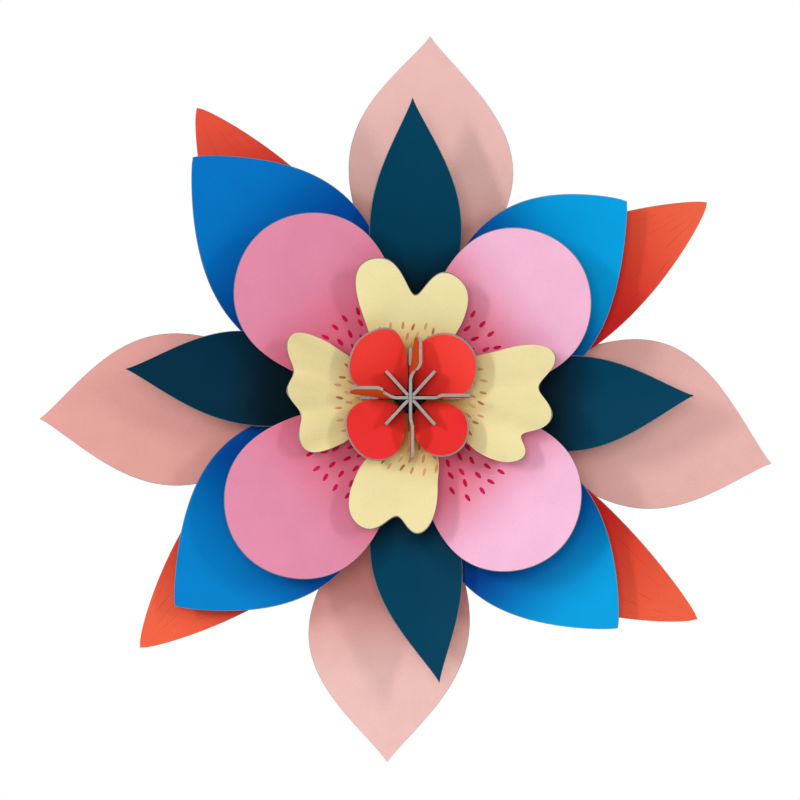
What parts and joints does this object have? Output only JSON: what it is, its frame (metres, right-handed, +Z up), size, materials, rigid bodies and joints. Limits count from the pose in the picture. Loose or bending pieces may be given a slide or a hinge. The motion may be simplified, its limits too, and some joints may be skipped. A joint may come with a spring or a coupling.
{
  "type": "giant paper flower",
  "caption": "Wide wall-mounted flower of printed board petals, set in rings that step forward on crossing upright boards slotted into a round back board.",
  "frame": {"origin": "on the flower's axis, in the back board's wall face", "axes": "+Y out of the back into the wall, -Y out of the flower towards the viewer, +Z up as hung, +X to the viewer's right"},
  "size_m": [0.5014, 0.118, 0.4976],
  "materials": {
    "greyboard": "raw grey board, matt, cut edges",
    "orange_brown_print": "satin print on grey board, raw grey edges",
    "dusty_pink_print": "satin print, pale tip and rosier base, raw grey edges",
    "orange_red_print": "satin print with faint darker veins, raw grey edges",
    "blue_print": "satin print, darker towards the base, raw grey edges",
    "teal_print": "satin print, nearly black at the base, raw grey edges",
    "pink_print": "satin print with crimson seed specks, raw grey edges",
    "yellow_print": "satin print with fine brown seed specks, raw grey edges",
    "red_print": "satin print, raw grey edges"
  },
  "bodies": {
    "root": {"back_board": "greyboard", "vertical_board": "orange_brown_print", "horizontal_board": "orange_brown_print", "rising_diagonal_board": "orange_brown_print", "falling_diagonal_board": "orange_brown_print", "dusty_pink_petal_right": "dusty_pink_print", "dusty_pink_petal_top": "dusty_pink_print", "dusty_pink_petal_left": "dusty_pink_print", "dusty_pink_petal_bottom": "dusty_pink_print", "orange_leaf_upper_right": "orange_red_print", "orange_leaf_upper_left": "orange_red_print", "orange_leaf_lower_left": "orange_red_print", "orange_leaf_lower_right": "orange_red_print", "blue_petal_upper_right": "blue_print", "blue_petal_upper_left": "blue_print", "blue_petal_lower_left": "blue_print", "blue_petal_lower_right": "blue_print", "teal_leaf_right": "teal_print", "teal_leaf_top": "teal_print", "teal_leaf_left": "teal_print", "teal_leaf_bottom": "teal_print", "round_pink_petal_upper_right": "pink_print", "round_pink_petal_upper_left": "pink_print", "round_pink_petal_lower_left": "pink_print", "round_pink_petal_lower_right": "pink_print", "yellow_petal_right": "yellow_print", "yellow_petal_top": "yellow_print", "yellow_petal_left": "yellow_print", "yellow_petal_bottom": "yellow_print", "red_petal_upper_right": "red_print", "red_petal_upper_left": "red_print", "red_petal_lower_left": "red_print", "red_petal_lower_right": "red_print"}
  },
  "joints": []
}
